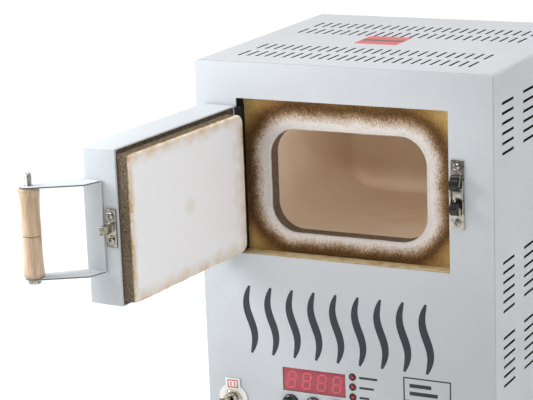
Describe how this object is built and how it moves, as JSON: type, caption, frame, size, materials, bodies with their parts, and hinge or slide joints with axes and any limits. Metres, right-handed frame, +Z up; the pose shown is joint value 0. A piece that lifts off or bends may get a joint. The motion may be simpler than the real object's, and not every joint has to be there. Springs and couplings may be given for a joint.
{
  "type": "front-loading bench kiln",
  "caption": "Small electric kiln with a vented steel casing, a fibre-lined chamber and a side-hung door with a wooden handle, standing open.",
  "frame": {"origin": "on the bench, under the centre of the base plate; the rubber feet stand on the plane z = 0", "axes": "+X to the right, +Y to the back, +Z up; the front panel faces -Y"},
  "size_m": [0.2756, 0.4267, 0.3243],
  "materials": {
    "casing_paint": "satin powder coat with fine orange peel",
    "door_paint": "satin powder coat with fine orange peel",
    "zinc_sheet": "satin zinc plating",
    "feet_rubber": "matte",
    "front_fibre": "matte rigid ceramic fibre board, scorched round the mouth",
    "chamber_fibre": "matte rigid ceramic fibre",
    "door_fibre": "matte rigid ceramic fibre, scorched at its border",
    "wool": "matte fibre board",
    "heating_wire": "oxidised resistance wire",
    "ceramic": "smooth unglazed ceramic",
    "red_window": "gloss tinted window",
    "led_red": "gloss",
    "black_gloss_plastic": "gloss",
    "dark_plastic": "matte",
    "circuit_board": "satin solder mask",
    "chrome": "polished",
    "legend_white": "satin",
    "nickel_plate": "satin nickel plating",
    "roller_rubber": "satin",
    "hinge_black": "satin black",
    "steel": "satin",
    "grip_wood": "satin turned beech"
  },
  "bodies": {
    "casing": {"back_panel": "casing_paint", "back_screw_lower_left": "steel", "back_screw_lower_right": "steel", "back_screw_upper_left": "steel", "back_screw_upper_right": "steel", "base_plate": "zinc_sheet", "catch_plate": "nickel_plate", "catch_screw_lower": "steel", "catch_screw_upper": "steel", "control_board": "circuit_board", "cover": "casing_paint", "display_lens": "red_window", "display_module": "dark_plastic", "foot_back_left": "feet_rubber", "foot_back_right": "feet_rubber", "foot_front_left": "feet_rubber", "foot_front_right": "feet_rubber", "front_board": "front_fibre", "front_panel": "casing_paint", "fuse_holder": "black_gloss_plastic", "heat_shield": "zinc_sheet", "heating_coil": "heating_wire", "hinge_jamb_leaf": "hinge_black", "hinge_pin": "steel", "insulation_bottom": "wool", "insulation_left": "wool", "insulation_rear": "wool", "insulation_right": "wool", "insulation_top": "wool", "led_1": "led_red", "led_2": "led_red", "led_3": "led_red", "muffle": "chamber_fibre", "power_inlet": "black_gloss_plastic", "relay": "dark_plastic", "switch_body": "steel", "switch_legend_plate": "legend_white", "switch_nut": "chrome", "terminal_block": "ceramic", "thermocouple": "ceramic"},
    "door": {"hinge_door_leaf": "hinge_black", "door_shell": "door_paint", "door_insulation": "door_fibre", "handle_bracket": "door_paint", "handle_grip": "grip_wood", "handle_bolt": "steel", "handle_nut": "steel", "striker_plate": "nickel_plate", "striker_screw_upper": "steel", "striker_screw_lower": "steel"},
    "button_1": {"button_1": "black_gloss_plastic"},
    "button_2": {"button_2": "black_gloss_plastic"},
    "button_3": {"button_3": "black_gloss_plastic"},
    "switch_lever": {"switch_lever": "chrome"},
    "catch_arm_upper": {"catch_arm_upper": "nickel_plate"},
    "catch_arm_lower": {"catch_arm_lower": "nickel_plate"},
    "catch_roller_upper": {"catch_roller_upper": "roller_rubber"},
    "catch_roller_lower": {"catch_roller_lower": "roller_rubber"}
  },
  "joints": [
    {"name": "door_hinge", "type": "hinge", "parent": "casing", "child": "door", "pos_m": [-0.08278, -0.11086, 0.23495], "axis": [0, 0, 1], "range_deg": [0, 94.1]},
    {"name": "button_1_press", "type": "slide", "parent": "casing", "child": "button_1", "axis": [0, 1, 0], "range_m": [0, 0.0012], "stiffness_N_per_m": 400, "springref_m": -0.0005},
    {"name": "button_2_press", "type": "slide", "parent": "casing", "child": "button_2", "axis": [0, 1, 0], "range_m": [0, 0.0012], "stiffness_N_per_m": 400, "springref_m": -0.0005},
    {"name": "button_3_press", "type": "slide", "parent": "casing", "child": "button_3", "axis": [0, 1, 0], "range_m": [0, 0.0012], "stiffness_N_per_m": 400, "springref_m": -0.0005},
    {"name": "switch_lever_tilt", "type": "hinge", "parent": "casing", "child": "switch_lever", "pos_m": [-0.0975, -0.1135, 0.0569], "axis": [1, 0, 0], "range_deg": [0, 32]},
    {"name": "catch_arm_upper_swing", "type": "hinge", "parent": "casing", "child": "catch_arm_upper", "pos_m": [0.09225, -0.1143, 0.2481], "axis": [1, 0, 0], "range_deg": [-8, 0], "stiffness_Nm_per_rad": 0.02, "springref_deg": 8.59},
    {"name": "catch_arm_lower_swing", "type": "hinge", "parent": "casing", "child": "catch_arm_lower", "pos_m": [0.09225, -0.1143, 0.2237], "axis": [1, 0, 0], "range_deg": [0, 8], "stiffness_Nm_per_rad": 0.02, "springref_deg": -8.59},
    {"name": "catch_roller_upper_spin", "type": "hinge", "parent": "catch_arm_upper", "child": "catch_roller_upper", "pos_m": [0.09225, -0.1186, 0.2448], "axis": [1, 0, 0], "continuous": true},
    {"name": "catch_roller_lower_spin", "type": "hinge", "parent": "catch_arm_lower", "child": "catch_roller_lower", "pos_m": [0.09225, -0.1186, 0.227], "axis": [1, 0, 0], "continuous": true}
  ]
}
